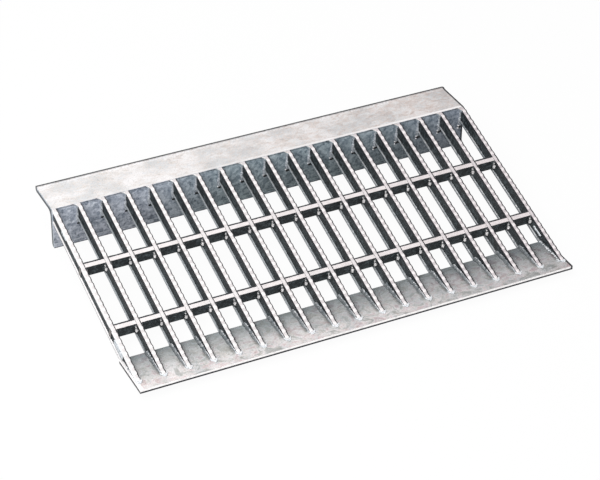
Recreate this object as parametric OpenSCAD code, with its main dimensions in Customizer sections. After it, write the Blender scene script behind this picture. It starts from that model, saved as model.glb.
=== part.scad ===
// Kerb ramp grating: I-section bearing bars between a kerb angle and a toe plate.
// Millimetres, +Z up. X runs along the kerb, +Y towards it. The ramp stands unheld
// on a level floor at z = 0, with the origin in the middle of its footprint.

/* [Bearing bars] */
// Number of bearing bars
bar_count = 19; // [6:1:30]
// Spacing of the bearing bars, centre to centre
bar_pitch = 27.5; // [20:0.5:40]
// Depth of a bearing bar
bar_h = 18; // [16:0.5:25]
// Width of the bar's flanges
flange_w = 5; // [5:0.5:8]
// Thickness of the flanges at their edges
flange_t = 3; // [2:0.5:3.5]
// Thickness of the bar's web
web_t = 3; // [2:0.5:4]
// Height of the slope from the flange edges to the web
flange_taper = 1; // [0.5:0.25:1.5]

/* [Kerb angle] */
// Width of both legs of the angle
angle_w = 50; // [40:1:65]
// Thickness of the angle
angle_t = 6; // [4:0.5:8]
// Fillet radius inside the angle
angle_root_r = 6.5; // [4:0.5:8]
// Radius on the inner edge of each leg's end
angle_end_r = 3.5; // [1:0.5:3.5]

/* [Ramp] */
// Level distance from the toe plate's road edge to the angle
ramp_run = 240; // [220:5:300]
// Height of the angle's lower edge above the toe plate's underside
leg_lift = 25; // [10:1:30]

/* [Toe plate] */
// Width of the toe plate, across the ramp
toe_w = 55; // [45:1:80]
// Thickness of the toe plate
toe_t = 4.5; // [3:0.5:9]
// Distance from the toe plate's road edge to the tips of the bars
tip_setback = 12; // [8:1:20]
// Length of toe plate that stands out past each end bar
toe_over = 2; // [0:0.5:5]

/* [Cross bars] */
// Thickness of a cross bar
cross_t = 5.5; // [4:0.5:8]
// Depth of a cross bar
cross_h = 14.5; // [10:0.5:15]
// Distance down the slope from the angle to the upper cross bar's middle
cross_first = 82.5; // [60:0.5:90]
// Distance down the slope between the two cross bars
cross_pitch = 84.5; // [60:0.5:95]

/* [Hidden] */
$fn = 48;
panel_l = (bar_count - 1) * bar_pitch + flange_w;
angle_top = angle_w + leg_lift; // height of the angle's top over the toe plate's underside
slope_a = atan((angle_top - toe_t) / (ramp_run - tip_setback));
slope_l = (ramp_run - tip_setback) / cos(slope_a);

// Heels: where the bars' undersides meet the gutter, at or behind the toe plate's rear.
heel_y = max(toe_w, tip_setback + (bar_h / cos(slope_a) - toe_t) / tan(slope_a));
// The ramp leans back on its heels until the angle's lower edge touches the floor.
lean_y = ramp_run + angle_t - angle_end_r - heel_y;
lean_z = leg_lift + angle_end_r;
lean_a = acos(angle_end_r / norm([lean_y, lean_z])) - atan2(lean_y, lean_z);
footprint = (ramp_run + angle_w) * cos(lean_a) + angle_top * sin(lean_a);

function bar_name(i) = str("bearing_bar_", i < 9 ? "0" : "", i + 1);
function bar_x(i) = (i - (bar_count - 1) / 2) * bar_pitch;

// From the installed attitude, toe plate level, to how it stands unheld: it leans
// back over the bars' heels.
module standing()
    translate([0, heel_y * cos(lean_a) - footprint / 2, 0])
        rotate([-lean_a, 0, 0]) translate([0, -heel_y, 0])
            children();

// Frame on the ramp's surface: the origin at the angle, -Y down the slope, +Z off it.
module on_slope()
    translate([0, ramp_run, angle_top]) rotate([slope_a, 0, 0])
        children();

// A profile drawn in Y and Z, extruded along X over the full length.
module along_kerb()
    rotate([90, 0, 90])
        translate([0, 0, -panel_l / 2]) linear_extrude(panel_l)
            children();

// Rolled angle, its heel at the origin, one leg back along +Y and one down.
module angle_profile() {
    end_c = angle_t - angle_end_r;
    root_c = angle_t + angle_root_r;
    difference() {
        union() {
            translate([0, -angle_t]) square([angle_w - angle_end_r, angle_t]);
            translate([0, -end_c]) square([angle_w, end_c]);
            translate([0, -angle_w + angle_end_r]) square([angle_t, angle_w - angle_end_r]);
            translate([0, -angle_w]) square([end_c, angle_w]);
            translate([angle_w - angle_end_r, -end_c]) circle(angle_end_r);
            translate([end_c, -angle_w + angle_end_r]) circle(angle_end_r);
            square_at([angle_t, -root_c], angle_root_r);
        }
        translate([root_c, -root_c]) circle(angle_root_r);
    }
}

module square_at(corner, side) translate(corner) square(side);

// I-section, the middle of its top at the origin, symmetric about its web.
module bar_profile() {
    f = flange_w / 2;
    w = web_t / 2;
    b = flange_t + flange_taper;
    right = [
        [f, 0], [f, -flange_t], [w, -b],
        [w, b - bar_h], [f, flange_t - bar_h], [f, -bar_h]
    ];
    left = [for (i = [len(right) - 1 : -1 : 0]) [-right[i][0], right[i][1]]];
    polygon(concat(right, left));
}

// A cross bar, its top flush with the bars; `spare` makes a cutter that runs past them.
module cross_bar(distance, spare = 0)
    on_slope()
        translate([-panel_l / 2 - spare, -distance - cross_t / 2, -cross_h])
            cube([panel_l + 2 * spare, cross_t, cross_h + spare]);

// Takes away what lies lower than `level`, from in front of the bar back to `back_y`.
module foot_cut(i, back_y, level)
    translate([bar_x(i) - flange_w, back_y - 2 * ramp_run, level - 4 * bar_h])
        cube([2 * flange_w, 2 * ramp_run, 4 * bar_h]);

module bearing_bar(i)
    color([0.78, 0.77, 0.75]) standing()
        difference() {
            on_slope()
                translate([bar_x(i), bar_h, 0]) rotate([90, 0, 0])
                    linear_extrude(slope_l + 2 * bar_h) bar_profile();
            // head cut upright against the angle
            translate([bar_x(i) - flange_w, ramp_run, 0])
                cube([2 * flange_w, 2 * bar_h, angle_top + bar_h]);
            // foot cut to sit on the toe plate, and behind it level with its underside
            foot_cut(i, toe_w, toe_t);
            foot_cut(i, ramp_run, 0);
            cross_bar(cross_first, spare = bar_h);
            cross_bar(cross_first + cross_pitch, spare = bar_h);
        }

module top_angle()
    color([0.86, 0.84, 0.82]) standing()
        translate([0, ramp_run, angle_top]) along_kerb() angle_profile();

module cross_bar_upper()
    color([0.8, 0.79, 0.77]) standing() cross_bar(cross_first);

module cross_bar_lower()
    color([0.8, 0.79, 0.77]) standing() cross_bar(cross_first + cross_pitch);

module toe_plate()
    color([0.82, 0.81, 0.79]) standing()
        translate([-panel_l / 2 - toe_over, 0, 0])
            cube([panel_l + 2 * toe_over, toe_w, toe_t]);

top_angle();
for (i = [0 : bar_count - 1])
    bearing_bar(i);
cross_bar_upper();
cross_bar_lower();
toe_plate();
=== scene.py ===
import math
import random

import bmesh
import bpy
from mathutils import Matrix, Vector


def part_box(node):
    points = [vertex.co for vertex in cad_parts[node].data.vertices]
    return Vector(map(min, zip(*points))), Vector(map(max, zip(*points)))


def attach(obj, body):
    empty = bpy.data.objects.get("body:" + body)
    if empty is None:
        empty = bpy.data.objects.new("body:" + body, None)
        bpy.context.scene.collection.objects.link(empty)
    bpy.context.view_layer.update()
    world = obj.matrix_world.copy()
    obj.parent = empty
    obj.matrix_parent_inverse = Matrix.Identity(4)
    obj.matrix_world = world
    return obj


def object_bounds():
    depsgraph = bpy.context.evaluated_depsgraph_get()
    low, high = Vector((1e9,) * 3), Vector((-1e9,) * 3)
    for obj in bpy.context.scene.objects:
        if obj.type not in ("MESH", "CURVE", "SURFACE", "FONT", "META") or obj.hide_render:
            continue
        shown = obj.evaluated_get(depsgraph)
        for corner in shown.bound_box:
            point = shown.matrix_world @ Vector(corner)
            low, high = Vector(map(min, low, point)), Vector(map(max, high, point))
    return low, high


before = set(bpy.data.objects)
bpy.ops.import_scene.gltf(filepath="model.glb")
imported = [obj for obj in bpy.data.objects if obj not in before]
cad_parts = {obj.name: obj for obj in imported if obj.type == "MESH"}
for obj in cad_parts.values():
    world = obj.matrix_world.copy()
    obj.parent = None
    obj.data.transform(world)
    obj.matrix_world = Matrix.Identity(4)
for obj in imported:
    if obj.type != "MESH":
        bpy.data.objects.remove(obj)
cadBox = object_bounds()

mm = 0.001
scene = bpy.context.scene
barNames = sorted(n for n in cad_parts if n.startswith("bearing_bar_"))


# where the ramp lies: two measuring frames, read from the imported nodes
def middle(name):
    low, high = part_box(name)
    return (low + high) / 2


def vertices(name):
    return [v.co.copy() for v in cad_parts[name].data.vertices]


sideways = Vector((1, 0, 0))
downSlope = (middle("cross_bar_lower") - middle("cross_bar_upper")).normalized()
offSlope = downSlope.cross(sideways)
head = max(vertices("top_angle"), key=lambda co: co.z)  # top front edge of the angle
head = Vector((0, head.y, head.z))

facingUp = [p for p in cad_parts["toe_plate"].data.polygons if p.normal.z > 0.7]
plateFace = max(facingUp, key=lambda p: p.area)
upPlate = plateFace.normal.copy()  # square to the toe plate, along the angle's upright leg
toKerb = upPlate.cross(sideways)
toeEdge = min(vertices("toe_plate"), key=lambda co: co.y)  # road edge, underside
toeEdge = Vector((0, toeEdge.y, toeEdge.z))


def onRamp(x, down, off):
    # metres: across, down the slope from the angle, off the bars' tops
    return head + sideways * x + downSlope * down + offSlope * off


def onToe(x, back, up):
    # metres: across, back from the road edge, up from the toe plate's underside
    return toeEdge + sideways * x + toKerb * back + upPlate * up


rampAxes = Matrix((sideways, downSlope, offSlope * -1)).transposed().to_4x4()
toeAxes = Matrix((sideways, toKerb, upPlate)).transposed().to_4x4()
barMiddles = [middle(name).x for name in barNames]
barSpacing = barMiddles[1] - barMiddles[0]
barSpan = barMiddles[-1] - barMiddles[0]
crossAt = [(middle(n) - head).dot(downSlope) for n in ("cross_bar_upper", "cross_bar_lower")]
legFront = (head - toeEdge).dot(toKerb)  # from the road edge back to the angle's upright face
topHeight = (head - toeEdge).dot(upPlate)
section = {  # sizes of the welded pieces, in metres
    "halfFlange": (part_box(barNames[0])[1].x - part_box(barNames[0])[0].x) / 2,
    "halfWeb": 1.5 * mm,
    "halfCross": 2.75 * mm,
    "plate": 4.5 * mm,
    "plateWidth": 55 * mm,
    "legFoot": 25 * mm,  # the upright leg's lower edge, up from the toe plate's underside
}
print("ramp measured: %d bars, spacing %.1f mm" % (len(barNames), barSpacing / mm))


# helpers for modelling
def clearSelection():
    if bpy.context.object and bpy.context.object.mode != "OBJECT":
        bpy.ops.object.mode_set(mode="OBJECT")
    bpy.ops.object.select_all(action="DESELECT")


def selectOnly(piece):
    clearSelection()
    piece.select_set(True)
    bpy.context.view_layer.objects.active = piece


def editMesh(piece):
    selectOnly(piece)
    bpy.ops.object.mode_set(mode="EDIT")


def selectFaces(piece, wanted):
    # face selection by place or normal, as by hand
    bpy.ops.mesh.select_mode(type="FACE")
    bpy.ops.mesh.select_all(action="DESELECT")
    shape = bmesh.from_edit_mesh(piece.data)
    for face in shape.faces:
        face.select_set(bool(wanted(face)))
    bmesh.update_edit_mesh(piece.data)


def applyModifiers(piece):
    selectOnly(piece)
    for modifier in list(piece.modifiers):
        bpy.ops.object.modifier_apply(modifier=modifier.name)


def settle(piece):
    # place, turn and scale go into the mesh
    selectOnly(piece)
    bpy.ops.object.transform_apply(location=True, rotation=True, scale=True)


def copyOf(master, name, placing):
    twin = bpy.data.objects.new(name, master.data.copy())
    twin.data.transform(placing)
    scene.collection.objects.link(twin)
    return twin


def joinPieces(pieces, name):
    clearSelection()
    for piece in pieces:
        piece.select_set(True)
    bpy.context.view_layer.objects.active = pieces[0]
    bpy.ops.object.join()
    joined = bpy.context.object
    joined.name = joined.data.name = name
    return joined


def smooth(piece, degrees=60):
    selectOnly(piece)
    bpy.ops.object.shade_smooth_by_angle(angle=math.radians(degrees))


def turned(axes, place, stretch=(1, 1, 1)):
    return Matrix.Translation(place) @ axes @ Matrix.Diagonal((*stretch, 1))


camera = {
    "place": (-0.84975, -1.49487, 1.51128),  # metres
    "turn": (48.723, -3.971, -25.789),       # degrees
    "sensor": 36,                            # width in millimetres
    "lens": 126.85,
    "shift": (0.0115, -0.0016),
    "clip": (0.05, 50),                      # metres
}
bpy.ops.object.camera_add(location=camera["place"],
                          rotation=[math.radians(a) for a in camera["turn"]])
eye = bpy.context.object
eye.name = "ramp_camera"
eye.data.sensor_width = camera["sensor"]
eye.data.lens = camera["lens"]
eye.data.shift_x, eye.data.shift_y = camera["shift"]
eye.data.clip_start, eye.data.clip_end = camera["clip"]
scene.camera = eye
print("camera set")


class Wire:  # a node's socket, so that shader maths reads as Python
    def __init__(self, finish, socket):
        self.finish, self.socket = finish, socket

    def __add__(self, other): return self.finish.maths("ADD", self, other)
    def __radd__(self, other): return self.finish.maths("ADD", other, self)
    def __sub__(self, other): return self.finish.maths("SUBTRACT", self, other)
    def __rsub__(self, other): return self.finish.maths("SUBTRACT", other, self)
    def __mul__(self, other): return self.finish.maths("MULTIPLY", self, other)
    def __rmul__(self, other): return self.finish.maths("MULTIPLY", other, self)
    def __truediv__(self, other): return self.finish.maths("DIVIDE", self, other)
    def __rtruediv__(self, other): return self.finish.maths("DIVIDE", other, self)


class Finish:  # one material and its nodes
    def __init__(self, name):
        self.material = bpy.data.materials.new(name)
        self.material.use_nodes = True
        self.tree = self.material.node_tree
        self.tree.nodes.clear()

    def node(self, kind, settings=None, inputs=None, output=0):
        made = self.tree.nodes.new(kind)
        for key, value in (settings or {}).items():
            if key == "stops":
                ramp = made.color_ramp
                while len(ramp.elements) < len(value):
                    ramp.elements.new(1)
                for element, (position, colour) in zip(ramp.elements, value):
                    if not isinstance(colour, tuple):  # a number stands for a grey
                        colour = (colour, colour, colour)
                    element.position = position
                    element.color = (*colour, 1)
            else:
                setattr(made, key, value)
        for key, value in (inputs or {}).items():
            if isinstance(value, Wire):
                self.tree.links.new(value.socket, made.inputs[key])
            else:
                made.inputs[key].default_value = value
        return Wire(self, made.outputs[output])

    def maths(self, operation, first, second=0.0):
        return self.node("ShaderNodeMath", {"operation": operation}, {0: first, 1: second})

    def mix(self, amount, first, second, blend="MIX"):
        # first and second are wires, or colours in three numbers
        first, second = ((*c, 1) if isinstance(c, tuple) else c for c in (first, second))
        return self.node("ShaderNodeMix", {"data_type": "RGBA", "blend_type": blend},
                         {0: amount, 6: first, 7: second}, output=2)

    def ramp(self, value, stops):
        return self.node("ShaderNodeValToRGB", {"stops": stops}, {"Fac": value})

    def where(self, stretch=(1, 1, 1), turn=(0, 0, 0), shift=(0, 0, 0)):
        place = self.node("ShaderNodeTexCoord", output="Object")
        return self.node("ShaderNodeMapping", {}, {
            "Vector": place, "Location": shift,
            "Rotation": tuple(math.radians(a) for a in turn), "Scale": stretch})

    def noise(self, size, place, detail, roughness=0.55, distortion=0.0):
        # size in metres of one blotch
        return self.node("ShaderNodeTexNoise", {}, {
            "Vector": place, "Scale": 1 / size, "Detail": detail,
            "Roughness": roughness, "Distortion": distortion})

    def reach(self, direction, start, stop):
        # 0 at the first place and 1 at the second, measured along a direction
        along = self.node("ShaderNodeVectorMath", {"operation": "DOT_PRODUCT"},
                          {0: self.where(), 1: direction}, output="Value")
        return (along - start.dot(direction)) / (stop - start).dot(direction)

    def beyond(self, direction, start):
        # millimetres past a place, measured along a direction
        return self.reach(direction, start, start + direction * mm)

    def beside(self, direction, first, spacing):
        # millimetres past the nearest of many like lines, negative in front of it
        along = self.reach(direction, first, first + direction) + spacing / 2
        return (self.maths("FLOORED_MODULO", along, spacing) - spacing / 2) / mm

    def band(self, value, start, stop):
        # 0 at start, 1 at stop, held beyond
        return self.ramp((value - start) / (stop - start), [(0.0, 0.0), (1.0, 1.0)])

    def strip(self, value, start, full, fade, stop):
        # 0 at start, 1 from full to fade, and 0 again at stop
        return self.band(value, start, full) * self.band(value, stop, fade)

    def finish(self, inputs):
        shader = self.node("ShaderNodeBsdfPrincipled", {}, inputs)
        self.output(shader)
        return self.material

    def output(self, shader):
        out = self.tree.nodes.new("ShaderNodeOutputMaterial")
        self.tree.links.new(shader.socket, out.inputs["Surface"])


def rgb(*colour):
    # a colour as written on a screen, 0 to 255, made linear
    def linear(part):
        part /= 255
        return part / 12.92 if part <= 0.04045 else ((part + 0.055) / 1.055) ** 2.4
    return tuple(linear(part) for part in colour)


zinc = {  # colours as seen on a screen, shared by all the finishes
    "wornAndLit": rgb(248, 245, 245),  # faces that look up: wiped and trodden, and painted light on the tops
    "worn warm": rgb(230, 221, 214),
    "worn cool": rgb(212, 216, 220),
    "scuff": rgb(190, 188, 188),
    "line": rgb(44, 46, 50),  # painted shade: a dark line along a sharp edge
    # painted highlight
    "highlight": rgb(253, 250, 250),
}
wear = {  # which part of the noise shows as each kind of blotch, and how strongly
    "warm": [(0.42, 0.0), (0.60, 1.0)], "warmth": 0.8,
    "cool": [(0.46, 0.0), (0.62, 1.0)], "coolness": 0.8,
    "scuffed": [(0.56, 0.0), (0.68, 1.0)], "scuffs": 0.6,
    "specked": [(0.36, 0.74), (0.52, 1.0)], "specks": 0.9,
    "slanted": [(0.35, 0.0), (0.62, 1.0)],  # how far a face looks up to be a slanted one
    "level": [(0.80, 0.0), (0.93, 1.0)],    # and to be a level one
    "end": (0.5, 0.9),                      # how far along X it looks to be an end face
    "rough": (0.3, 0.12),                   # how much the blotches and crystals roughen it
    "dent": 0.6,                            # depth in millimetres
}


class ZincFinish(Finish):  # galvanised steel: pale where it looks up, partly wear and partly painted light; blotchy on its sides
    def __init__(self, name, tones, blotch, grain=1.2, streak=(1, 1, 1), contrast=1.0, seed=0.0):
        # blotch and grain: sizes in millimetres; streak stretches the blotches, seed moves them
        super().__init__(name)
        blotch, grain = blotch * mm, grain * mm
        place = self.where(shift=(seed, seed * 0.37, seed * 0.71))
        along = self.where(stretch=streak, shift=(seed * 0.5, 0, seed))
        big = self.noise(blotch * 4, place, detail=2.0)
        self.patch = self.noise(blotch, along, detail=4.0, roughness=0.62, distortion=0.8)
        self.small = self.noise(blotch / 3.5, place, detail=3.0, roughness=0.6)
        self.fine = self.noise(grain, place, detail=2.0, roughness=0.7)
        cells = self.node("ShaderNodeTexVoronoi", {"feature": "F1"},
                          {"Vector": place, "Scale": 1 / (blotch * 0.4), "Randomness": 1.0},
                          output="Color")
        self.spangle = self.node("ShaderNodeSeparateColor", {}, {"Color": cells}, output=0)

        # cream and cool blotches, darker scuffs, fine specks
        warm = self.ramp(self.patch * 0.6 + big * 0.4, wear["warm"])
        cool = self.ramp(self.small * 0.5 + big * 0.5, wear["cool"])
        scuffed = self.ramp(self.patch * 0.55 + self.small * 0.45, wear["scuffed"])
        specked = self.ramp(self.fine * 0.6 + self.small * 0.4, wear["specked"])
        wornAndLit = self.mix(warm * wear["warmth"] * contrast, zinc["wornAndLit"], zinc["worn warm"])
        wornAndLit = self.mix(cool * wear["coolness"] * contrast, wornAndLit, zinc["worn cool"])
        wornAndLit = self.mix(scuffed * wear["scuffs"] * contrast, wornAndLit, zinc["scuff"])
        self.wornAndLit = self.mix(wear["specks"] * contrast, wornAndLit, specked, blend="MULTIPLY")

        # upright faces: bluish and blotchy, with paler crystals
        sides = self.ramp(
            self.patch * 0.35 + self.small * 0.35 + self.spangle * 0.18 + self.fine * 0.12,
            [(0.34, tones["dark"]), (0.48, tones["middle"]), (0.68, tones["pale"])])
        normal = self.node("ShaderNodeNewGeometry", output="Normal")
        self.facingX = self.node("ShaderNodeSeparateXYZ", {}, {"Vector": normal}, output="X")
        facingZ = self.node("ShaderNodeSeparateXYZ", {}, {"Vector": normal}, output="Z")
        slanted = self.ramp(facingZ + self.uneven(self.small, 0.2), wear["slanted"])
        self.level = self.ramp(facingZ + self.uneven(self.small, 0.1), wear["level"])
        self.colour = self.mix(slanted, sides, tones["slant"])

    def tint(self, amount, tone, blend="MIX"):
        self.colour = self.mix(amount, self.colour, tone, blend=blend)

    def dullWorn(self, amount, tone):
        # only what the worn and lit faces will show
        self.wornAndLit = self.mix(amount, self.wornAndLit, tone, blend="MULTIPLY")

    # partly wear, partly painted light: faces that look up take the pale tone
    def wearAndLightTops(self):
        self.colour = self.mix(self.level, self.colour, self.wornAndLit)

    def endFaces(self):
        return self.band(self.maths("ABSOLUTE", self.facingX), *wear["end"])

    def uneven(self, noise, spread):
        # shifts an edge or a value to and fro by up to half the spread
        return (noise - 0.5) * spread

    def close(self, rough=0.68, metal=0.15, bump=0.25, specular=0.3):
        blotches, crystals = wear["rough"]
        roughness = rough + self.uneven(self.small, blotches) + self.uneven(self.spangle, crystals)
        height = self.patch * 0.5 + self.small * 0.35 + self.fine * 0.2
        dents = self.node("ShaderNodeBump", {}, {"Height": height, "Strength": bump,
                                                 "Distance": wear["dent"] * mm})
        return self.finish({"Base Color": self.colour, "Roughness": roughness,
                            "Metallic": metal, "Specular IOR Level": specular, "Normal": dents})


firstBar, lastBar = Vector((barMiddles[0], 0, 0)), Vector((barMiddles[-1], 0, 0))
leftEnd, rightEnd = Vector((cadBox[0][0], 0, 0)), Vector((cadBox[1][0], 0, 0))
shadeFrom = leftEnd * 0.6  # painted shade: the zinc darkens from here to the right-hand end


def edgeLine(f, place, width, strength=1.0, ragged=0.4):
    # a mask of a line along X through a place; its width is in millimetres, and its outer
    # half fades
    flat = f.where(stretch=(0, 1, 1))
    away = f.node("ShaderNodeVectorMath", {"operation": "DISTANCE"},
                  {0: flat, 1: (0, place.y, place.z)}, output="Value")
    return f.ramp(away / (width * mm) + f.uneven(f.small, ragged), [(0.5, strength), (1.0, 0.0)])


# painted shade: none up to where it starts, full at the right-hand end
def farEndShade(f):
    return f.ramp(f.reach(sideways, shadeFrom, rightEnd), [(0.0, 0.0), (1.0, 1.0)])


def depthBelow(f):
    # millimetres below the bars' tops, square to the slope
    return f.reach(offSlope, onRamp(0, 0, 0), onRamp(0, 0, -1 * mm))


def besideBars(f):
    # millimetres to the right of the nearest bar's middle, negative to its left
    return f.beside(sideways, firstBar, barSpacing)


angleTones = {
    "dark": rgb(95, 102, 112), "middle": rgb(152, 157, 167), "pale": rgb(214, 216, 224),
    "slant": rgb(178, 182, 188), "end": rgb(176, 184, 190), "stain": rgb(244, 230, 226),
    "leg": rgb(252, 253, 254), "leg middle": rgb(220, 233, 228), "leg far": rgb(243, 250, 251),
    "far": rgb(240, 239, 239), "far sides": rgb(209, 207, 209), "corner": rgb(236, 240, 246),
}
angleLines = {  # millimetres: where a line starts and is full, and where it fades and stops
    "leg foot": (1.3, 0.7),              # up from the upright leg's lower edge
    "under edge": (0.4, 0.8, 1.6, 2.4),  # down from the front top edge
    "behind edge": (1.5, 0.8),           # back from it
    "inside": (1.8, 2.6),                # in from the outer faces, on the ends
    "right end": (-2.5, -1.8),           # past the last bar's right-hand side
    "highlight": (1.6, 2.6),                # back from the front edge, and how wide
    "rear highlight": (5.0, 2.4),           # forward from the rear edge, and how wide
    "rear": 5.4,                         # how wide
}
angleStrengths = {
    "stains": [(0.40, 0.0), (0.66, 0.8)],  # over the noise of the blotches
    "corner": (0.25, 0.9),                 # from the leg's foot at 0 to its top at 1
    "far sides": 0.9, "leg foot": 0.6, "under edge": 0.5, "end": 0.7, "inside": 0.85,
    "highlight": 0.15, "far highlight": 0.8, "rear highlight": 0.12, "right end": 0.95,
}


def angleFinish():
    f = ZincFinish("zinc_angle", angleTones, blotch=8, streak=(0.75, 1.2, 1), seed=0.31)
    tones, lines, strengths = angleTones, angleLines, angleStrengths
    # painted shade towards the right-hand end, on the tops and on the sides
    along = farEndShade(f)
    f.dullWorn(along, tones["far"])
    f.tint(along * strengths["far sides"], tones["far sides"], blend="MULTIPLY")
    f.dullWorn(along * f.ramp(f.patch, strengths["stains"]), tones["stain"])
    legShade = f.ramp(f.reach(sideways, leftEnd, rightEnd), [
        (0.2, tones["leg"]), (0.4, tones["leg middle"]), (0.78, tones["leg middle"]),
        (1.0, tones["leg far"])])
    f.tint(1.0, legShade, blend="MULTIPLY")
    foot = onToe(0, 0, section["legFoot"])  # painted light: the leg is paler up towards the corner
    cornered = f.band(f.reach(upPlate, foot, head), *strengths["corner"])
    f.tint(cornered, tones["corner"], blend="SOFT_LIGHT")
    # painted shade: a dark line along the upright leg's lower edge
    footLine = f.band(f.beyond(upPlate, foot), *lines["leg foot"])
    f.tint(footLine * strengths["leg foot"], zinc["line"])
    below = f.beyond(upPlate * -1, head)
    behind = f.beyond(toKerb, head)
    # painted shadow on the upright leg, just under the top's front edge
    under = f.strip(below, *lines["under edge"]) * f.band(behind, *lines["behind edge"])
    f.tint(under * strengths["under edge"], zinc["line"])
    # both ends: paler outside, with painted shade along the inner edges
    ends = f.endFaces()
    f.tint(ends * strengths["end"], tones["end"])
    inner = f.maths("MINIMUM", below, behind) + f.uneven(f.small, 2.0)
    f.tint(ends * f.band(inner, *lines["inside"]) * strengths["inside"], zinc["line"])
    f.wearAndLightTops()
    # painted highlights along the front and rear edges of the top, and painted shade lines at the
    # rear and right
    back, width = lines["highlight"]
    highlight = edgeLine(f, head + toKerb * back * mm, width) * f.level
    f.tint(highlight * (strengths["highlight"] + along * strengths["far highlight"]), zinc["highlight"])
    rear = max(vertices("top_angle"), key=lambda co: co.y)
    forward, width = lines["rear highlight"]
    place = rear - toKerb * forward * mm
    f.tint(edgeLine(f, place, width, strengths["rear highlight"]), zinc["highlight"])
    f.tint(edgeLine(f, rear, lines["rear"]), zinc["line"])
    rightSide = lastBar + sideways * section["halfFlange"]
    rightLine = f.band(f.beyond(sideways, rightSide), *lines["right end"])
    f.tint(rightLine * strengths["right end"], zinc["line"])
    return f.close()


# painted shade: the side tones are near black for the shade in the narrow slots between the bars;
# the cross bars use them too
barTones = {
    "dark": rgb(19, 23, 26), "middle": rgb(38, 44, 47), "pale": rgb(92, 101, 105),
    "slant": rgb(150, 156, 160), "flange": rgb(200, 205, 209), "crest": rgb(243, 239, 239),
    "valley": rgb(214, 209, 209), "far valley": rgb(203, 196, 199), "far": rgb(247, 244, 245),
    "far flange": rgb(205, 208, 210), "cut end": rgb(126, 122, 120),
}
barLines = {  # millimetres below the bars' tops, unless a note says otherwise
    "crest": (0.0, -0.28),
    "top": (0.5, 0.1),
    "upper flange": (3.4, 2.6),
    "lower flange": (14.3, 15.2),
    "glint": (14.2, 14.6, 15.1, 15.6),
    "underside": (16.6, 17.3),
    "right": (1.6, 1.9),      # to the right of a bar's middle
    "left": (-2.1, -2.4),
    "outside": (1.4, 1.8),    # to the left of the first bar's middle
    "outer upper": (3.2, 2.5),
    "outer lower": (13.6, 14.3),
    "outer foot": (16.3, 16.8),
}
barStrengths = {
    "mottle": [(0.38, 0.55), (0.56, 1.0)],  # over the noise of the small blotches
    "glint": [(0.44, 0.0), (0.56, 0.6)],    # over the noise of the large ones
    "underside": 0.55, "far underside": 0.4, "tops": 0.8, "outer flanges": 0.85,
    "outer foot": 0.9,
}


def barFinish():
    f = ZincFinish("zinc_bars", barTones, blotch=6, grain=0.9, seed=1.7, contrast=0.35)
    tones, lines, strengths = barTones, barLines, barStrengths
    depth, far = depthBelow(f), farEndShade(f)
    # the lower flange's edges catch the light
    lower = f.band(depth, *lines["lower flange"])
    mottle = f.ramp(f.small * 0.6 + f.fine * 0.4, strengths["mottle"])
    f.tint(lower * mottle, tones["flange"])
    # painted shade towards the right-hand end
    f.tint(far * lower, tones["far flange"], blend="MULTIPLY")
    glint = f.strip(depth, *lines["glint"]) * f.ramp(f.patch, strengths["glint"])
    f.tint(glint * far, zinc["highlight"])
    # painted shade: a dark line along the underside
    under = strengths["underside"] + far * strengths["far underside"]
    f.tint(f.band(depth, *lines["underside"]) * under, zinc["line"])
    # tops: painted highlight on the crests; painted shade between them, along both edges and
    # towards the right end
    crest = f.band(depth + f.uneven(f.small, 0.4), *lines["crest"])
    valley = f.mix(far, tones["valley"], tones["far valley"])
    f.wornAndLit = f.mix(strengths["tops"], f.wornAndLit, f.mix(crest, valley, tones["crest"]))
    f.dullWorn(far, tones["far"])
    f.level = f.maths("MAXIMUM", f.level, f.band(depth, *lines["top"]))
    f.wearAndLightTops()
    across = besideBars(f)
    right = f.band(across + far * 0.45 + (1 - crest) * 0.3, *lines["right"])
    sides = right + f.band(across, *lines["left"])
    f.tint(sides * f.band(depth, *lines["upper flange"]), zinc["line"])
    # painted light on the outer flange faces at the near end, with a painted shade line along the
    # lower edge
    outer = f.band(f.beyond(sideways * -1, firstBar), *lines["outside"])
    flanges = f.band(depth, *lines["outer lower"]) + f.band(depth, *lines["outer upper"])
    f.tint(outer * flanges * strengths["outer flanges"], zinc["wornAndLit"])
    outerFoot = f.band(depth + f.uneven(f.fine, 2.0), *lines["outer foot"])
    f.tint(outer * outerFoot * strengths["outer foot"], zinc["line"])
    return f.close(specular=0.25)


crossLines = {  # millimetres
    "front": (2.2, 2.6),      # down the slope from a cross bar's middle
    "top": (1.2, 0.4),        # below the bars' tops
    "clear": (2.3, 2.7),      # from the nearest bar's middle
    "end foot": (13.2, 13.8),
}
crossStrengths = {"tops": 0.7, "cut end": 0.85, "end foot": 0.9, "front": 0.95}


def crossFinish():
    f = ZincFinish("zinc_cross_bars", barTones, blotch=7, grain=0.9, seed=2.9, contrast=0.4)
    # painted shade towards the right-hand end
    f.dullWorn(farEndShade(f), barTones["far"])
    f.dullWorn(crossStrengths["tops"], barTones["crest"])
    f.wearAndLightTops()
    first = middle("cross_bar_upper")
    past = f.beside(downSlope, first, (middle("cross_bar_lower") - first).dot(downSlope))
    depth, ends = depthBelow(f), f.endFaces()
    f.tint(ends * crossStrengths["cut end"], barTones["cut end"])
    endFoot = f.band(depth, *crossLines["end foot"])
    f.tint(ends * endFoot * crossStrengths["end foot"], zinc["wornAndLit"])
    # painted shade: a dark line along the front top edge, left out at the crossings
    clear = f.band(f.maths("ABSOLUTE", besideBars(f)), *crossLines["clear"])
    edge = f.band(past, *crossLines["front"]) * f.band(depth, *crossLines["top"])
    f.tint(edge * clear * crossStrengths["front"], zinc["line"])
    return f.close(specular=0.25)


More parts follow.
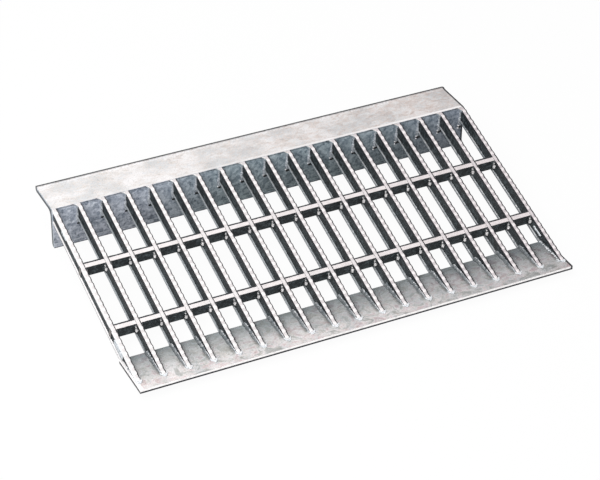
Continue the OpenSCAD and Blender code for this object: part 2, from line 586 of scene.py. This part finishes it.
plateTones = {
    "dark": rgb(226, 223, 224), "middle": rgb(250, 247, 247), "pale": rgb(253, 251, 251),
    "slant": rgb(244, 241, 241), "rear": rgb(170, 180, 183), "far": rgb(216, 217, 219),
    "mauve": rgb(240, 223, 225), "smudge": rgb(198, 201, 199), "darkening": rgb(196, 196, 194),
}
plateLines = {  # millimetres
    "rear from": 8,                       # back from the road edge, where the painted shade starts
    "darkening": (-8.0, -5.0, -2.0, -1.0),     # from the nearest bar's middle
    "soot back": (14, 18, 27, 36),        # back from the road edge
    "near end": (4.6, 3.6),               # in from the left-hand end
    "far end": (-2.9, -2.2),              # past the right-hand end
    "front": (2.4, 1.8),                  # up from the underside
    "ends": (3.9, 3.4),
}
plateStrengths = {
    "mauve": [(0.50, 0.0), (0.62, 0.9)],   # over the noise of the patches
    "smudge": [(0.38, 1.0), (0.52, 0.0)],
    "rear": (0.05, 0.95),                  # from where the painted shade starts at 0 to the rear at 1
    "near end": 0.9, "ends": 0.85, "far end": 0.95,
}


def plateFinish():
    f = ZincFinish("zinc_toe_plate", plateTones, blotch=7, streak=(0.85, 1.15, 1), seed=4.3)
    tones, lines, strengths = plateTones, plateLines, plateStrengths
    # smudged and mauve patches, with painted shade towards the kerb, under the bars, and towards
    # the far end
    place = f.where(stretch=(1, 1.5, 1), turn=(0, 0, 35), shift=(2.2, 0.4, 0))
    patches = f.noise(16 * mm, place, detail=5.0, roughness=0.68, distortion=1.2)
    f.dullWorn(f.ramp(patches, strengths["mauve"]), tones["mauve"])
    f.dullWorn(f.ramp(patches, strengths["smudge"]), tones["smudge"])
    dullFrom, dullTo = onToe(0, lines["rear from"] * mm, 0), onToe(0, section["plateWidth"], 0)
    rear = f.reach(toKerb, dullFrom, dullTo) + f.uneven(patches, 1.6)
    f.dullWorn(f.band(rear, *strengths["rear"]), tones["rear"])
    f.dullWorn(farEndShade(f), tones["far"])
    # darker strips left of the bars beside the welds, and painted light on a strip at the near end
    across = besideBars(f) + f.uneven(f.patch, 3.0)
    back = f.beyond(toKerb, toeEdge)
    darkening = f.strip(across, *lines["darkening"]) * f.strip(back, *lines["soot back"])
    f.dullWorn(darkening, tones["darkening"])
    litStrip = f.band(f.beyond(sideways, leftEnd), *lines["near end"])
    f.wornAndLit = f.mix(litStrip * strengths["near end"], f.wornAndLit, zinc["wornAndLit"])
    f.wearAndLightTops()
    # painted shade: dark lines along the lower front edge, the ends and the right-hand end
    up = f.beyond(upPlate, toeEdge)
    f.tint(f.band(up, *lines["front"]), zinc["line"])
    f.tint(f.endFaces() * f.band(up, *lines["ends"]) * strengths["ends"], zinc["line"])
    farLine = f.band(f.beyond(sideways, rightEnd), *lines["far end"])
    f.tint(farLine * strengths["far end"], zinc["line"])
    return f.close()


weldTones = {
    "dark": rgb(92, 99, 104), "middle": rgb(176, 182, 187), "pale": rgb(244, 246, 248),
    "slant": rgb(216, 221, 226), "shade": rgb(98, 108, 114), "darkening": rgb(96, 100, 102),
}
weldLines = {  # millimetres
    "lower spot": (5.2, 6.0, 9.8, 10.8),  # below the bars' tops, in the corners
    "upper spot": (2.0, 2.6, 3.8, 4.4),
    "toe side": (-1.0, -1.4),             # from the nearest bar's middle
    "toe back": (25, 31),                 # back from the road edge
    "darkening": (-2.9, -3.5),                 # from the nearest bar's middle
    "soot back": (14.5, 17),
    "last bar": (-8, -10),                # past the last bar's middle
}
weldStrengths = {
    "wornAndLit": [(0.40, 0.15), (0.58, 0.7)],  # over the noise of the blotches
    "toe spots": [(0.49, 1.0), (0.57, 0.1)],
    "corner": 0.92, "lower spot": 0.95, "upper spot": 0.85, "shade": 0.85, "darkening": 0.8,
}


def weldFinish(name, highlightTint=0.0, dull=0.0):
    f = ZincFinish(name, weldTones, blotch=3, grain=0.6, seed=6.1, contrast=0.25)
    # painted highlight, as strong as asked for
    f.tint(highlightTint, zinc["highlight"])
    f.tint(dull, angleTones["middle"])
    f.tint(f.level * f.ramp(f.patch, weldStrengths["wornAndLit"]), zinc["wornAndLit"])
    return f


def cornerWeldFinish():
    # in the corners under the cross bars: two painted highlights, and painted shade on the rest
    f = weldFinish("zinc_corner_welds")
    height = depthBelow(f) + f.uneven(f.patch, 2.0)
    f.tint(weldStrengths["corner"], barTones["middle"])
    for spot in ("lower spot", "upper spot"):
        f.tint(f.strip(height, *weldLines[spot]) * weldStrengths[spot], zinc["highlight"])
    return f.close(rough=0.34, specular=0.8, bump=0.5)


def toeWeldFinish():
    # bright beside the tips, and further back dull with a few bright spots
    f = weldFinish("zinc_toe_welds")
    back, across = f.beyond(toKerb, toeEdge), besideBars(f)
    near = f.band(across, *weldLines["toe side"])
    near = near * f.band(f.beyond(sideways, lastBar), *weldLines["last bar"])
    shaded = near * f.band(back, *weldLines["toe back"])
    shaded = shaded * f.ramp(f.patch, weldStrengths["toe spots"])
    f.tint(shaded * weldStrengths["shade"], weldTones["shade"])
    outer = f.band(across + f.uneven(f.small, 1.0), *weldLines["darkening"])
    outer = outer * f.band(back, *weldLines["soot back"])
    f.tint(outer * near * weldStrengths["darkening"], weldTones["darkening"])
    return f.close(bump=0.4)


def shadowRodFinish():
    f = ZincFinish("painted_shadow_rod", barTones, blotch=4, seed=7.7)
    # painted shade: near black all over
    f.tint(0.95, zinc["line"])
    return f.close()


angleZinc, barZinc, crossZinc = angleFinish(), barFinish(), crossFinish()
plateZinc, toeZinc, shadowRodDark = plateFinish(), toeWeldFinish(), shadowRodFinish()
weldZinc = weldFinish("zinc_welds").close(bump=0.4)
headZinc = weldFinish("zinc_head_welds", dull=0.4).close(bump=0.4)
# painted highlight: small pale balls beside the pits, tinted near white
highlightDotZinc = weldFinish("zinc_painted_highlight_dots", highlightTint=0.9).close(bump=0.4)
cornerZinc = cornerWeldFinish()
# painted shadow: a near-black blob on the leg stands in for the shade in the hollow under each
# bar's lower flange
pitShadow = Finish("weld_pit").finish({"Base Color": (*rgb(30, 33, 37), 1), "Roughness": 0.8})

for name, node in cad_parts.items():
    finish = (angleZinc if name == "top_angle" else plateZinc if name == "toe_plate"
              else crossZinc if name.startswith("cross_bar") else barZinc)
    node.data.materials.clear()
    node.data.materials.append(finish)
print("materials on the rolled pieces")


edges = {"round": 0.4 * mm, "segments": 2, "sharp": 50, "merge": 0.01 * mm, "weight": 90}
for name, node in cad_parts.items():  # softened edges on the rolled sections and plates
    weld = node.modifiers.new("weld", "WELD")
    weld.merge_threshold = edges["merge"]
    bevel = node.modifiers.new("edge", "BEVEL")
    bevel.width, bevel.segments = edges["round"], edges["segments"]
    bevel.limit_method, bevel.angle_limit = "ANGLE", math.radians(edges["sharp"])
    normals = node.modifiers.new("normals", "WEIGHTED_NORMAL")
    normals.mode, normals.weight = "FACE_AREA", edges["weight"]
print("edges softened")


ribs = {  # non-slip ribs across the tops of the bars
    "pitch": 8.45 * mm,   # ten to one spacing of the cross bars
    "length": 5.4 * mm,   # along the bar, where a rib leaves the flange
    "width": 5.5 * mm,    # a little proud of the flange on both sides
    "height": 0.6 * mm,
    "swell": 2.3 * mm,    # half the depth of the ball that a rib is cut from
    "wider": 1.05,        # how much wider that ball is than the rib
    "deep": 1.2 * mm,     # how far a rib is buried in the flange
    "first": 6.45 * mm,   # down the slope from the angle
    "count": 28,
    "clear": 4.5 * mm,    # no rib stands nearer to a cross bar's middle
    "sides": 14, "rings": 10,
    "crossing": (0.94, 1.75, 0.25),  # a rib stretched to a low swelling over a crossing
}


def makeRib():
    # the cap of a flattened ball with its sides and underside cut off; -Z is off the slope here
    clearSelection()
    bpy.ops.mesh.primitive_uv_sphere_add(segments=ribs["sides"], ring_count=ribs["rings"],
                                         radius=1)
    rib = bpy.context.object
    sunk = 1 - ribs["height"] / ribs["swell"]
    spread = 1 / math.sqrt(1 - sunk * sunk)
    half = ribs["width"] / 2
    rib.scale = (half * spread * ribs["wider"], ribs["length"] / 2 * spread, ribs["swell"])
    rib.location = (0, 0, ribs["swell"] - ribs["height"])
    settle(rib)
    for place, normal in (((half, 0, 0), (1, 0, 0)), ((-half, 0, 0), (-1, 0, 0)),
                          ((0, 0, ribs["deep"]), (0, 0, 1))):
        editMesh(rib)
        bpy.ops.mesh.select_all(action="SELECT")
        bpy.ops.mesh.bisect(plane_co=place, plane_no=normal, clear_outer=True, use_fill=True)
        bpy.ops.object.mode_set(mode="OBJECT")
    editMesh(rib)
    bpy.ops.mesh.select_all(action="SELECT")
    bpy.ops.mesh.normals_make_consistent(inside=False)
    bpy.ops.object.mode_set(mode="OBJECT")
    return rib


ribMaster = makeRib()
ribPlaces = [ribs["first"] + i * ribs["pitch"] for i in range(ribs["count"])]
ribPlaces = [s for s in ribPlaces if all(abs(s - c) > ribs["clear"] for c in crossAt)]
rowPieces = [copyOf(ribMaster, "rib", turned(rampAxes, onRamp(0, s, 0))) for s in ribPlaces]
for s in crossAt:
    swelling = turned(rampAxes, onRamp(0, s, 0), ribs["crossing"])
    rowPieces.append(copyOf(ribMaster, "rib", swelling))
ribRow = joinPieces(rowPieces, "grip_ribs")
ribRow.data.materials.append(barZinc)
smooth(ribRow)
for name, x in zip(barNames, barMiddles):
    row = copyOf(ribRow, "grip_ribs_" + name[-2:], Matrix.Translation((x, 0, 0)))
    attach(row, "root")
bpy.data.objects.remove(ribMaster)
bpy.data.objects.remove(ribRow)
print("non-slip ribs: %d on each bar" % len(ribPlaces))


ripple = {  # one scale of weld metal, copied along each seam; it faces +Z
    "radius": 1.0 * mm, "sides": 10, "rings": 6,
    "caps": 0.5,                # the part of the radius past which a cap starts
    "top": (1.15, 1.15, 0.75),  # how the caps are stretched
    "bottom": (1.1, 1.1, 0.8),
}
shake = random.Random(19)


def makeRipple():
    clearSelection()
    bpy.ops.mesh.primitive_uv_sphere_add(segments=ripple["sides"], ring_count=ripple["rings"],
                                         radius=ripple["radius"])
    drop = bpy.context.object
    cap = ripple["radius"] * ripple["caps"]
    editMesh(drop)
    selectFaces(drop, lambda face: face.calc_center_median().z > cap)
    bpy.ops.transform.resize(value=ripple["top"], center_override=(0, 0, 0))
    selectFaces(drop, lambda face: face.calc_center_median().z < -cap)
    bpy.ops.transform.resize(value=ripple["bottom"], center_override=(0, 0, 0))
    bpy.ops.object.mode_set(mode="OBJECT")
    return drop


rippleMaster = makeRipple()


def bead(axes, placeOf, stretches, wobble=0.12):
    # a run of overlapping ripples; placeOf(i) is a point, stretches[i] its size in x, y, z
    made = []
    for i, stretch in enumerate(stretches):
        size = [s * (1 + shake.uniform(-wobble, wobble)) for s in stretch]
        made.append(copyOf(rippleMaster, "ripple", turned(axes, placeOf(i), size)))
    return made


def outerSide(k, side):
    return (k == 0 and side < 0) or (k == len(barMiddles) - 1 and side > 0)


def stepsIn(weld):
    # how far down each ripple of a weld lies
    return [weld["top"] + i * weld["step"]
            for i in range(int((weld["bottom"] - weld["top"]) / weld["step"]) + 1)]


# head welds: each web to the upright leg, running down past the bar's lower flange
headWeld = {  # millimetres, down from the angle's top
    "top": 2.6, "bottom": 23.0, "step": 1.0,
    "web": 3.4, "web out": 0.5,          # the web starts here; the bead lies out from it
    "flange out": -0.3,                  # and before that, out from the upper flange
    "foot": 15.0, "foot out": 0.1,       # the lower flange starts here; out from it
    "narrow": 20.5, "narrowing": 0.3,    # the bead turns in under the flange
    "size": 1.2, "wide": 13.0, "foot size": 1.8, "thin": 17.0, "thinning": 0.08,
    "stretch": (1, 1, 1.05),
    "sunk": 0.6,                         # into the leg's face
}
pits = {"down": 25.4, "drift": 0.5, "out": 1.6, "sunk": 0.5, "size": 1.5, "flat": 0.8,
        "tall": 0.85, "growth": 0.9}     # the pits and the highlight dots grow towards the far end
# painted highlights: small pale balls beside the pits
dots = {"places": ((3.7, -1.9), (3.9, 1.1)),  # out from the bar's middle, and down from a pit
        "from bars": (7, 14), "size": 0.7, "growth": 0.35}


def headRipple(down):
    # out from the bar's middle, and size, in millimetres
    out, size = section["halfWeb"] / mm + headWeld["web out"], headWeld["size"]
    if down < headWeld["web"]:
        out = section["halfFlange"] / mm + headWeld["flange out"]
    if down > headWeld["foot"]:
        out = section["halfFlange"] / mm + headWeld["foot out"]
        out -= max(0.0, down - headWeld["narrow"]) * headWeld["narrowing"]
    if down >= headWeld["wide"]:
        size = headWeld["foot size"] - max(0.0, down - headWeld["thin"]) * headWeld["thinning"]
    return out, size


headPieces, pitPieces, highlightDotPieces = [], [], []
for k, x in enumerate(barMiddles):
    for side in (-1, 1):
        if outerSide(k, side):
            continue
        drops, farther = stepsIn(headWeld), k / len(barMiddles)
        pitDown = pits["down"] + shake.uniform(-pits["drift"], pits["drift"])

        def onLeg(out, down, sunk, x=x, side=side):
            return onToe(x + side * out * mm, legFront - sunk * mm, topHeight - down * mm)

        headPieces += bead(
            toeAxes,
            lambda i, onLeg=onLeg: onLeg(headRipple(drops[i])[0], drops[i], headWeld["sunk"]),
            [[headRipple(down)[1] * s for s in headWeld["stretch"]] for down in drops])
        wide = pits["size"] + pits["growth"] * farther
        pit = turned(toeAxes, onLeg(pits["out"], pitDown, pits["sunk"]),
                     (wide, pits["flat"], wide * pits["tall"]))
        pitPieces.append(copyOf(rippleMaster, "pit", pit))
        for out, down in dots["places"][:sum(k >= bar for bar in dots["from bars"])]:
            size = dots["size"] + dots["growth"] * farther
            dot = turned(toeAxes, onLeg(out, pitDown + down, pits["sunk"]), (size, size, size))
            highlightDotPieces.append(copyOf(rippleMaster, "dot", dot))
headWelds = joinPieces(headPieces, "head_welds")
headPits = joinPieces(pitPieces, "head_weld_pits")
highlightDots = joinPieces(highlightDotPieces, "head_weld_highlight_dots")
print("head welds, with their pits and spatter")


corner = {  # fills and rounds the corner between the angle's edge and each bar's top
    "radius": 6.8 * mm, "thick": 2.6 * mm, "round": 0.45 * mm, "sides": 28, "sharp": 50,
    "tuck": 1.0 * mm,  # how far it goes in over the flange
    "sunk": 0.1 * mm,
    "sizes": (0.85, 1.1),
}


def makeCorner():
    # a square block with a round bite out of it; -Z is off the slope here
    size, thick, tuck = corner["radius"], corner["thick"], corner["tuck"]
    clearSelection()
    bpy.ops.mesh.primitive_cube_add(size=1, location=((tuck - size) / 2, size / 2, thick / 2))
    block = bpy.context.object
    block.scale = (size + tuck, size, thick)
    settle(block)
    bpy.ops.mesh.primitive_cylinder_add(vertices=corner["sides"], radius=size, depth=thick * 4,
                                        location=(-size, size, 0))
    bite = bpy.context.object
    cut = block.modifiers.new("bite", "BOOLEAN")
    cut.operation, cut.solver, cut.object = "DIFFERENCE", "EXACT", bite
    soft = block.modifiers.new("soft", "BEVEL")
    soft.width, soft.segments = corner["round"], 2
    soft.limit_method, soft.angle_limit = "ANGLE", math.radians(corner["sharp"])
    applyModifiers(block)
    bpy.data.objects.remove(bite)
    return block


cornerMaster = makeCorner()
cornerPieces = []
for x in barMiddles[1:]:
    size = shake.uniform(*corner["sizes"])
    place = onRamp(x - section["halfFlange"], 0, -corner["sunk"])
    placing = turned(rampAxes, place, (size, size, 1))
    cornerPieces.append(copyOf(cornerMaster, "corner", placing))
bpy.data.objects.remove(cornerMaster)
headCorners = joinPieces(cornerPieces, "head_corners")
print("corners between the angle and the bars")


# cross welds: under each crossing, in the corner towards the road
crossWeld = {  # millimetres, down from the bars' tops
    "top": 1.2, "bottom": 14.6, "step": 1.25,
    "zones": (  # down to this depth: out from the web, forward of the cross bar, and size
        (4.2, 1.7, 0.6, 1.1),
        (5.6, 0.7, 0.5, 1.2),
        (10.6, 0.6, 1.4, 1.8),
        (math.inf, 0.8, 0.4, 1.4)),
    "stretch": (0.9, 1.15, 0.8),
}


def crossRipple(off):
    return next(zone[1:] for zone in crossWeld["zones"] if off < zone[0])


def cornerBead(x, side, s):
    depths = stepsIn(crossWeld)

    def place(i):
        out, forward = crossRipple(depths[i])[:2]
        return onRamp(x + side * (section["halfWeb"] + out * mm),
                      s + section["halfCross"] + forward * mm, -depths[i] * mm)

    return bead(rampAxes, place,
                [[crossRipple(d)[2] * stretch for stretch in crossWeld["stretch"]] for d in depths])


crossGroups = []
for label, s in zip(("upper", "lower"), crossAt):
    made = []
    for k, x in enumerate(barMiddles):
        for side in (-1, 1):
            if not outerSide(k, side):
                made += cornerBead(x, side, s)
    crossGroups.append(joinPieces(made, "cross_welds_" + label))
print("cross welds")


shadowRod = {  # painted shade: a dark rod under the rear top edge of each cross bar, for the shadow line there
    "thick": 2.8 * mm, "below": 1.5 * mm, "behind": 0.9 * mm, "sides": 10, "steps": 90,
    "uneven": 0.15 * mm,
}


def makeShadowRod(name, s):
    clearSelection()
    bpy.ops.mesh.primitive_cylinder_add(vertices=shadowRod["sides"], radius=shadowRod["thick"] / 2,
                                        depth=barSpan)
    run = bpy.context.object
    run.rotation_euler = (0, math.radians(90), 0)
    settle(run)
    editMesh(run)
    for i in range(1, shadowRod["steps"]):
        bpy.ops.mesh.select_all(action="SELECT")
        x = barMiddles[0] + barSpan * i / shadowRod["steps"]
        bpy.ops.mesh.bisect(plane_co=(x, 0, 0), plane_no=(1, 0, 0))
    bpy.ops.object.mode_set(mode="OBJECT")
    drift = {}
    for vertex in run.data.vertices:  # it bulges and thins along its length
        step = round(vertex.co.x / mm)
        if step not in drift:
            drift[step] = 1 + shake.uniform(-1, 1) * shadowRod["uneven"] / (shadowRod["thick"] / 2)
        vertex.co.y *= drift[step]
        vertex.co.z *= drift[step]
    place = onRamp(0, s - section["halfCross"] - shadowRod["behind"], -shadowRod["below"])
    run.data.transform(turned(rampAxes, place))
    run.name = run.data.name = name
    smooth(run)
    return run


shadowRods = [makeShadowRod("zinc_run_" + label, s) for label, s in zip(("upper", "lower"), crossAt)]
print("painted shadow rods")


# toe welds: along both sides of each foot on the toe plate and round its tip
toeWeld = {  # millimetres
    "tip": 12.0, "start": 14.0,             # back from the road edge
    "short": 44.0, "long": 56.0,            # where the short welds and the long ones stop
    "short ragged": 6, "long ragged": 3,    # and how much sooner they may
    "step": 2.3, "unsteady": (0.8, 1.2), "heavy step": 1.35,
    "up": 0.1, "size": 1.25, "stretch": (1, 0.95), "height": 0.85,
    "wobble": 0.28, "heavy wobble": 0.45,
    "flare": 10, "flare size": 0.25,        # it is fuller over this length from the tip
    "out": -0.2, "flare out": 0.5,          # out from the flange's side
    "heavy out": 0.9, "outer out": -0.9,
    "web": 23.0, "long web out": 0.3, "short web out": -0.8,  # from here the web stands on it
    "growth": 0.085, "largest": 2.3, "climb": 0.028,  # a long one grows and climbs the web
}
nose = {"places": ((-1.8, 0.9), (-0.9, -0.5), (0.2, -1.3), (1.3, -0.3), (1.9, 0.9), (0, 0.5)),
        "size": (1.25, 1.2, 1.15), "wobble": 0.25}
onPlate = section["plate"] + toeWeld["up"] * mm


def toeRipple(y, outer, heavy, long):
    # out from the bar's middle and size, in millimetres, and how tall it is for its size
    w, back = toeWeld, y - toeWeld["tip"]
    flare = max(0.0, 1 - back / w["flare"])
    out = section["halfFlange"] / mm + w["out"] + w["flare out"] * flare
    if heavy:
        out += w["heavy out"] + flare
    elif outer:
        out += w["outer out"]
    elif y > w["web"]:
        out += w["long web out"] if long else w["short web out"]
    size, tall = w["size"] * (1 + w["flare size"] * flare), w["height"]
    if long:
        size = min(w["largest"], w["size"] + w["growth"] * back)
        tall += w["climb"] * back
    return out, size, tall


def toeBead(k, x, side):
    # the last bar's inner side has the heaviest weld, and the left-hand sides have long ones
    w = toeWeld
    outer = outerSide(k, side)
    heavy = k == len(barMiddles) - 1 and side < 0
    long = side < 0 and not heavy and not outer
    ragged = w["long ragged"] if long else w["short ragged"]
    stop = w["long"] if heavy or long else w["short"]
    run, y = [], w["start"]
    while y < stop - shake.uniform(0, ragged):
        run.append((y, *toeRipple(y, outer, heavy, long)))
        y += w["step"] * shake.uniform(*w["unsteady"]) * (w["heavy step"] if heavy else 1)
    return bead(
        toeAxes, lambda i: onToe(x + side * run[i][1] * mm, run[i][0] * mm, onPlate),
        [(size * w["stretch"][0], size * w["stretch"][1], size * tall)
         for back, out, size, tall in run],
        wobble=w["heavy wobble"] if heavy else w["wobble"])


def noseBead(x):
    def place(i):
        across, back = nose["places"][i]
        return onToe(x + across * mm, (toeWeld["tip"] + back) * mm, onPlate)

    return bead(toeAxes, place, [nose["size"]] * len(nose["places"]), wobble=nose["wobble"])


toePieces = []
for k, x in enumerate(barMiddles):
    toePieces += toeBead(k, x, -1) + toeBead(k, x, 1) + noseBead(x)
toeWelds = joinPieces(toePieces, "toe_welds")
print("toe welds")


dabs = {  # on the outer faces of the end bars, in millimetres
    "places": ((31.0, 42.0, 2.4, 2.4), (180.0, 199.0, 6.4, 6.2)),  # from, to, below, half width
    "step": 1.9, "drift": 0.4, "thick": 1.0, "long": 2.0, "sunk": 0.1,
}
webDab = {  # low on the last bar's web, behind the weld to the toe plate
    "back": 58.0, "up": 10.5, "step": (2.4, 0.7),  # back from the road edge, and up
    "sunk": 0.4, "size": 1.8, "stretch": (0.7, 1.1, 1), "count": 6, "wobble": 0.2,
}


def sideDab(side, x, start, stop, below, half):
    face = x + side * (section["halfFlange"] - dabs["sunk"] * mm)

    def place(i):
        depth = below + shake.uniform(-dabs["drift"], dabs["drift"])
        return onRamp(face, (start + dabs["step"] * i) * mm, -depth * mm)

    count = int((stop - start) / dabs["step"]) + 1
    return bead(rampAxes, place, [(dabs["thick"], dabs["long"], half)] * count)


def alongWeb(i):
    back, up = (webDab[key] + webDab["step"][n] * i for n, key in enumerate(("back", "up")))
    return onToe(barMiddles[-1] - section["halfWeb"] - webDab["sunk"] * mm, back * mm, up * mm)


dabPieces = []
for side, x in ((-1, barMiddles[0]), (1, barMiddles[-1])):
    for place in dabs["places"]:
        dabPieces += sideDab(side, x, *place)
webSize = [webDab["size"] * s for s in webDab["stretch"]]
dabPieces += bead(toeAxes, alongWeb, [webSize] * webDab["count"], wobble=webDab["wobble"])
endDabs = joinPieces(dabPieces, "end_weld_dabs")
bpy.data.objects.remove(rippleMaster)

dressed = [(headWelds, headZinc), (headPits, pitShadow), (highlightDots, highlightDotZinc),
           (headCorners, angleZinc), *((piece, cornerZinc) for piece in crossGroups),
           *((piece, shadowRodDark) for piece in shadowRods), (toeWelds, toeZinc), (endDabs, weldZinc)]
for piece, finish in dressed:
    piece.data.materials.append(finish)
    smooth(piece)
    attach(piece, "root")
    print(piece.name, len(piece.data.polygons), "faces")


studio = {
    "floor": (0.88, 0.88, 0.88), "floor size": 14, "floor glow": 0.95,
    "world": 0.36,
    "top lamp": {"place": (-0.9, 0.2, 1.8), "size": 1.9, "power": 31.5},
    "front lamp": {"place": (-1.1, -1.6, 1.1), "size": 2.6, "power": 30.0},
}
bpy.ops.mesh.primitive_plane_add(size=studio["floor size"], location=(0, 0, 0))
floor = bpy.context.object
floor.name = "studio_floor"
f = Finish("studio_floor")  # a plain glow to the camera and in gloss, matt to all other light
rays = f.node("ShaderNodeLightPath", output="Is Camera Ray")
glossy = f.node("ShaderNodeLightPath", output="Is Glossy Ray")
seen = f.maths("MAXIMUM", rays, glossy)
matt = f.node("ShaderNodeBsdfDiffuse", {}, {"Color": (*studio["floor"], 1)})
glow = f.node("ShaderNodeEmission", {}, {"Color": (1, 1, 1, 1), "Strength": 1.0})
f.output(f.node("ShaderNodeMixShader", {}, {0: seen * studio["floor glow"], 1: matt, 2: glow}))
floor.data.materials.append(f.material)

for name in ("top lamp", "front lamp"):
    lamp = studio[name]
    bpy.ops.object.light_add(type="AREA", location=lamp["place"])
    light = bpy.context.object
    light.name = name.replace(" ", "_")
    light.data.shape = "DISK"
    light.data.size = lamp["size"]
    light.data.energy = lamp["power"]
    aim = Vector((0, 0, 0)) - Vector(lamp["place"])
    light.rotation_euler = aim.to_track_quat("-Z", "Y").to_euler()

scene.world = bpy.data.worlds.new("studio_world")
scene.world.use_nodes = True
background = scene.world.node_tree.nodes["Background"]
background.inputs["Color"].default_value = (1, 1, 1, 1)
background.inputs["Strength"].default_value = studio["world"]
scene.view_settings.view_transform = "Standard"
print("studio ready")
